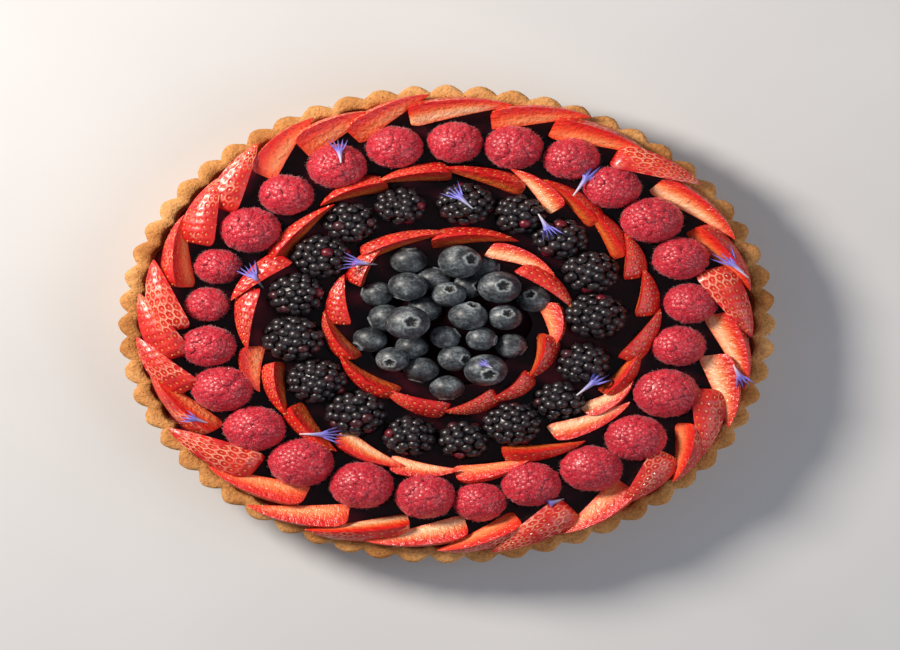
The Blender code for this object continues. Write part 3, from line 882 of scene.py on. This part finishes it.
def seeds_on(wedge):
    """Small pointed seeds in the dimples of a wedge's skin."""
    points, faces = [], []
    first_row = floor(wedge.wobble) - 1
    for row in range(first_row, first_row + ceil(SEED_ROWS) + 3):
        for column in range(-1, ceil(wedge.columns) + 2):
            lean, share = 0.5, 0.5
            for _ in range(8):
                row_now, column_now = warped_cell(share, lean, wedge.columns, wedge.wobble)
                share += (row + 0.5 - row_now) / SEED_ROWS
                lean += (column + 0.5 - 0.5 * (row % 2) - column_now) / wedge.columns
            if not (0.03 < share < 0.95 and 0.08 < lean < 0.92):
                continue
            reach = wedge.reach(share)
            out = wedge.away(lean - 0.5)
            side = wedge.along.cross(out)
            seat = wedge.middle(share) + out * (reach - SEED_DEPTH * min(1, 2 * reach / wedge.radius))
            seed = []
            for place, size in ((-0.6, 0.45), (-0.1, 1.0), (0.5, 0.5)):
                for around in turns(5):
                    flat = (side * cos(around) * 0.40 + out * sin(around) * 0.26) * size * MM
                    seed.append(seat + wedge.along * place * MM + flat)
            add_mesh(points, faces, seed, capped_faces(5, 3))
    return points, faces


def spot(angle, distance, height):
    return Vector((distance * MM * sin(radians(angle)), distance * MM * cos(radians(angle)), height))


def lay_slices(name, slices, fans, sizes, skin, rng):
    """A pinwheel of slices, one piece for each fan of neighbours."""
    first = 0
    for number in range(1, fans + 1):
        last = round(len(slices) * number / fans)
        points, faces, kinds, cells = [], [], [], []
        for blunt_angle, inner, tip_angle, outer, face_up in slices[first:last]:
            radius, spread, roll, low, high, bow = sizes(face_up, rng)
            blunt, tip = spot(blunt_angle, inner, low), spot(tip_angle, outer, high)
            wedge = Wedge(blunt, tip, radius, spread, roll, bow, rng.uniform(0, 6))
            flesh = PALE_FLESH if face_up == "p" or rng.random() < 0.2 else FLESH
            # the middle and inner slices that show skin, or some of both, get the dimmed red flesh: partly
            # a redder flesh, partly painted shade
            flesh = SHADED_RED_FLESH if skin == PLAIN_SKIN and face_up in "ms" else flesh
            body, body_faces, body_kinds, body_cells = wedge_mesh(wedge)
            add_mesh(points, faces, body, body_faces)
            kinds += [flesh if kind else skin for kind in body_kinds]
            cells += body_cells
            unmapped = len(faces)
            seeds, seed_faces = seeds_on(wedge)
            add_mesh(points, faces, seeds, seed_faces)
            kinds += [SEED] * len(seed_faces)
            for _ in range(JUICE_DROPS):
                ball, ball_faces = ball_points(rng.uniform(0.10, 0.24) * MM, 5, 3)
                place = body[rng.randrange(len(body) // 12, len(body) * 5 // 6)]
                add_mesh(points, faces, [Vector(point) + place for point in ball], ball_faces)
                kinds += [JUICE] * len(ball_faces)
            cells += [(0.5, 0.5)] * sum(len(face) for face in faces[unmapped:])
        piece = mesh_object(f"{name}.{number}", points, faces, strawberry_finish, kinds)
        layer = piece.data.uv_layers.new(name="seeds")
        layer.data.foreach_set("uv", [value for cell in cells for value in cell])
        piece.data.set_sharp_from_angle(angle=radians(48))
        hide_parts(f"{name}_{number}")
        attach(piece, "root")
        first = last


def slice_sizes(radius, looks, low, high, bow):
    """Makes the function that draws a slice's radius, spread, roll, ends and bow at random."""
    def draw(face_up, rng):
        spread, roll = looks[face_up]
        return (rng.uniform(0.93, 1.07) * radius, radians(spread + rng.uniform(-5, 5)),
                radians(roll + rng.uniform(-8, 8)), low + rng.uniform(-0.8, 0.8) * MM, high,
                bow * rng.uniform(0.7, 1.3))
    return draw


outer_sizes = slice_sizes(
    12.5 * MM, {"s": (70, 14), "m": (58, 62), "c": (50, 88), "p": (58, 90)}, 29.5 * MM, 32 * MM, 0.6 * MM)
middle_sizes = slice_sizes(
    9.5 * MM, {"s": (66, 30), "m": (56, 56), "c": (48, 84), "p": (50, 98)}, 31 * MM, 34 * MM, 0.8 * MM)
inner_sizes = slice_sizes(
    9 * MM, {"s": (66, 30), "m": (56, 54), "c": (48, 80), "p": (50, 98)}, 31 * MM, 34 * MM, 1.4 * MM)
strawberry_finish = [
    strawberry_skin("highlight_net_skin", 0.85), strawberry_flesh("strawberry_flesh", 0.0),
    strawberry_flesh("pale_flesh", 1.0), seed_coat(),
    surface("juice_drop", Base_Color=(0.95, 0.45, 0.25, 1), Roughness=0.06, Coat_Weight=1.0)[0],
    strawberry_skin("plain_skin", 0.25), strawberry_flesh("shaded_red_flesh", -0.6)]
rng = random.Random(3)
lay_slices("strawberry_outer", OUTER_SLICES, 6, outer_sizes, HIGHLIGHT_NET_SKIN, rng)
lay_slices("strawberry_middle", MIDDLE_SLICES, 5, middle_sizes, PLAIN_SKIN, rng)
lay_slices("strawberry_inner", INNER_SLICES, 4, inner_sizes, PLAIN_SKIN, rng)


# ---- The cornflower florets
# Thirteen loose lilac-blue florets strewn over the fruit. Each is a thin tube, white at its foot,
# that opens into a few pointed lobes.

# Foot's angle and distance, lobes' angle and distance, in degrees and mm
FLORETS = (
    (9.4, 58.5, 359.5, 70), (31, 64.5, 43.5, 57.5), (35.5, 79, 34.2, 99), (78, 112, 69, 105),
    (101, 106, 106.5, 114), (127, 59, 111, 63.5), (154, 97, 160, 97), (224.4, 76.7, 213, 66),
    (240.5, 100, 245, 107), (285, 69, 292.5, 80.5), (320, 39, 309, 51), (334.5, 89.5, 337, 102),
    (143, 27.5, 148, 21),
)


def petal_blue():
    made, tree, shader = surface("petal_blue", Roughness=0.5, Subsurface_Weight=0.2, Sheen_Weight=0.3)
    colour = ramp(tree, stored(tree, "along"), (
        (0.0, (0.85, 0.82, 0.85)), (0.22, (0.62, 0.58, 0.85)), (0.5, (0.20, 0.19, 0.72)),
        (1.0, (0.12, 0.11, 0.62))))
    veins = ramp(tree, noise_of(tree, 700, 3), ((0.4, (0.8, 0.8, 0.85)), (0.6, (1.15, 1.15, 1.1))))
    dress(
        tree, shader, mixed(tree, 0.6, colour, veins, "MULTIPLY"),
        bumps(tree, noise_of(tree, 900, 2), 0.2, 0.0003))
    return made


def fruit_height(x, y):
    """How high the fruit stands at a point, looking down on the tart."""
    best = JELLY_TOP
    for piece in fruit:
        left, right, near, far = boxes[piece.name]
        if not (left < x < right and near < y < far):
            continue
        hit, place, _, _ = piece.ray_cast(Vector((x, y, 0.1)), Vector((0, 0, -1)))
        if hit:
            best = max(best, place.z)
    return best


def resting_line(foot, tip):
    """Heights along a floret that is laid over the fruit: it bridges the dips between the tops."""
    heights = []
    for step in range(10):
        place = foot.lerp(tip, step / 9)
        heights.append((step / 9, fruit_height(place.x, place.y) + 0.7 * MM))
    taut = []
    for here in heights:
        while len(taut) > 1:
            (before, low), (last, high) = taut[-2:]
            if (high - low) * (here[0] - before) > (here[1] - low) * (last - before):
                break
            taut.pop()
        taut.append(here)
    return [share for share, _ in taut], [height for _, height in taut]


def floret(foot, tip, rng):
    """Points, faces and shade of one floret: a thin tube that opens into a fan of pointed lobes."""
    shares, heights = resting_line(foot, tip)
    along = tip - foot
    length = along.length
    along.normalize()
    side = along.cross(Vector((0, 0, 1))).normalized()
    lobes = rng.choice((4, 4, 5))
    lobe_reach = [rng.uniform(0.78, 1.0) for _ in range(lobes)] + [0.8]
    throat, throat_half, fan = 0.46, 1.2 * MM, radians(34)
    points, faces, shade = [], [], []
    across_steps, steps, thick = lobes * 4, 16, 0.12 * MM
    for layer in (0, 1):
        for step in range(steps + 1):
            share = step / steps
            opened = max(0, share - throat) / (1 - throat)
            for column in range(across_steps + 1):
                place = column / across_steps - 0.5
                gap = abs(((place + 0.5) * lobes) % 1 - 0.5) * 2
                far = opened * (1 - 0.82 * gap**0.8 * opened**0.5) * lobe_reach[column // 4] * (1 - throat)
                turn = 2 * place * fan
                reach = min(share, throat) + far * cos(turn)
                half = 0.3 * MM + (throat_half - 0.3 * MM) * min(1, share / throat) ** 1.6
                sideways = 2 * place * half + far * length * sin(turn)
                centre = foot + along * length * reach + side * sideways
                rounded = (1 - (2 * place) ** 2) * half * 0.9 * (1 - opened)
                curl = 0.35 * MM * sin(9 * place + 4 * share)
                lifted = (2 * place) ** 2 * 2.0 * MM * opened + curl * opened
                centre.z = np.interp(reach, shares, heights) + rounded + lifted + layer * thick
                points.append(centre)
                shade.append(reach)
    columns = across_steps + 1
    layer_size = columns * (steps + 1)
    for step in range(steps):
        for column in range(across_steps):
            low = step * columns + column
            faces.append((low, low + columns, low + columns + 1, low + 1))
            high = low + layer_size
            faces.append((high, high + 1, high + columns + 1, high + columns))
    border = list(range(columns))
    border += [step * columns + across_steps for step in range(1, steps + 1)]
    border += [steps * columns + column for column in range(across_steps - 1, -1, -1)]
    border += [step * columns for step in range(steps - 1, 0, -1)]
    for here, after in zip(border, border[1:] + border[:1]):
        faces.append((here, after, after + layer_size, here + layer_size))
    return points, faces, shade


bpy.context.view_layer.update()
UNDER_FLORETS = ("raspberry", "bramble", "blueberries", "strawberry_outer", "strawberry_middle",
                 "strawberry_inner", "crust")
fruit = [piece for piece in bpy.data.objects
         if piece.type == "MESH" and piece.name.split(".")[0] in UNDER_FLORETS]
boxes = {}
for piece in fruit:
    corners = [piece.matrix_world @ Vector(corner) for corner in piece.bound_box]
    boxes[piece.name] = (min(c.x for c in corners), max(c.x for c in corners),
                         min(c.y for c in corners), max(c.y for c in corners))

rng = random.Random(17)
petal_points, petal_faces, petal_shade = [], [], []
for foot_angle, foot_far, tip_angle, tip_far in FLORETS:
    foot, tip = spot(foot_angle, foot_far, 0), spot(tip_angle, tip_far, 0)
    made_points, made_faces, made_shade = floret(foot, tip, rng)
    add_mesh(petal_points, petal_faces, made_points, made_faces)
    petal_shade += made_shade
florets = mesh_object("cornflower_florets", petal_points, petal_faces, [petal_blue()])
store(florets, "along", petal_shade)
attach(florets, "root")


# ---- The crumbs on the rim
# A few loose crumbs of the shortcrust, shed when the tart left its tin.

CRUMBS = 110
rng = random.Random(29)
crumb_points, crumb_faces = [], []
for _ in range(CRUMBS):
    angle = rng.uniform(0, 360)
    far = rng.uniform(112.5, 117.5)
    base = spot(angle, far, 0)
    base.z = fruit_height(base.x, base.y)
    size = rng.uniform(0.15, 0.42) * MM
    ball, ball_faces = ball_points(size, 6, 4)
    crumb = []
    for point in ball:
        lump = 1 + 0.45 * noise.noise(Vector(point) * 2500 + Vector((angle, far, 0)))
        crumb.append(Vector(point) * lump + base + Vector((0, 0, size * 0.3)))
    add_mesh(crumb_points, crumb_faces, crumb, ball_faces)
crumbs = mesh_object("crumbs", crumb_points, crumb_faces, [crust.data.materials[0]])
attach(crumbs, "root")


# ---- The floor, the lights and the camera
# A plain pale floor under soft studio light, warm from the upper left and cooler from the right.
# The camera looks straight down, and its rig squeezes what it sees sideways, so that the round tart
# comes out wider than it is tall.


def pale_floor():
    made, tree, shader = surface("pale_floor", Roughness=0.85)
    tone = ramp(tree, noise_of(tree, 6, 3), ((0.3, (0.56, 0.56, 0.57)), (0.7, (0.61, 0.61, 0.62))))
    tree.links.new(tone, shader.inputs["Base Color"])
    return made


floor_piece = mesh_object(
    "floor", [(-3, -3, 0), (3, -3, 0), (3, 3, 0), (-3, 3, 0)], [(0, 1, 2, 3)], [pale_floor()], smooth=False)
floor_piece.location.z = cad_low.z - 0.0002


def studio_light(name, place, size, power, colour):
    lamp = bpy.data.lights.new(name, "AREA")
    lamp.shape = "DISK"
    lamp.size = size
    lamp.energy = power
    lamp.color = colour
    made = bpy.data.objects.new(name, lamp)
    made.location = place
    made.rotation_euler = (Vector((0, 0, 0.02)) - Vector(place)).to_track_quat("-Z", "Y").to_euler()
    bpy.context.scene.collection.objects.link(made)


studio_light("key_light", (-0.70, 0.45, 0.70), 0.36, 17, (1.0, 0.92, 0.82))
studio_light("fill_light", (0.9, -0.3, 0.9), 1.2, 5.5, (0.92, 0.95, 1.0))

world = bpy.data.worlds.new("studio")
world.use_nodes = True
sky = world.node_tree.nodes["Background"].inputs
sky["Color"].default_value = (0.80, 0.86, 1.0, 1)
sky["Strength"].default_value = 0.2
bpy.context.scene.world = world
bpy.context.scene.view_settings.view_transform = "Standard"

CAMERA_HEIGHT = 0.9
SQUEEZE = 8 / 11
camera = bpy.data.objects.new("camera", bpy.data.cameras.new("camera"))
camera.data.type = "ORTHO"
camera.data.ortho_scale = 0.45
rig = bpy.data.objects.new("camera_rig", None)
bpy.context.scene.collection.objects.link(camera)
bpy.context.scene.collection.objects.link(rig)
camera.parent = rig
camera.matrix_parent_inverse = Matrix((
    (SQUEEZE, 0, 0, 0.0011), (0, 1, 0, -0.0003), ((1 - SQUEEZE**2) ** 0.5, 0, 1, CAMERA_HEIGHT),
    (0, 0, 0, 1)))
bpy.context.scene.camera = camera


# ---- The scene brought up to date at the end

bpy.context.view_layer.update()
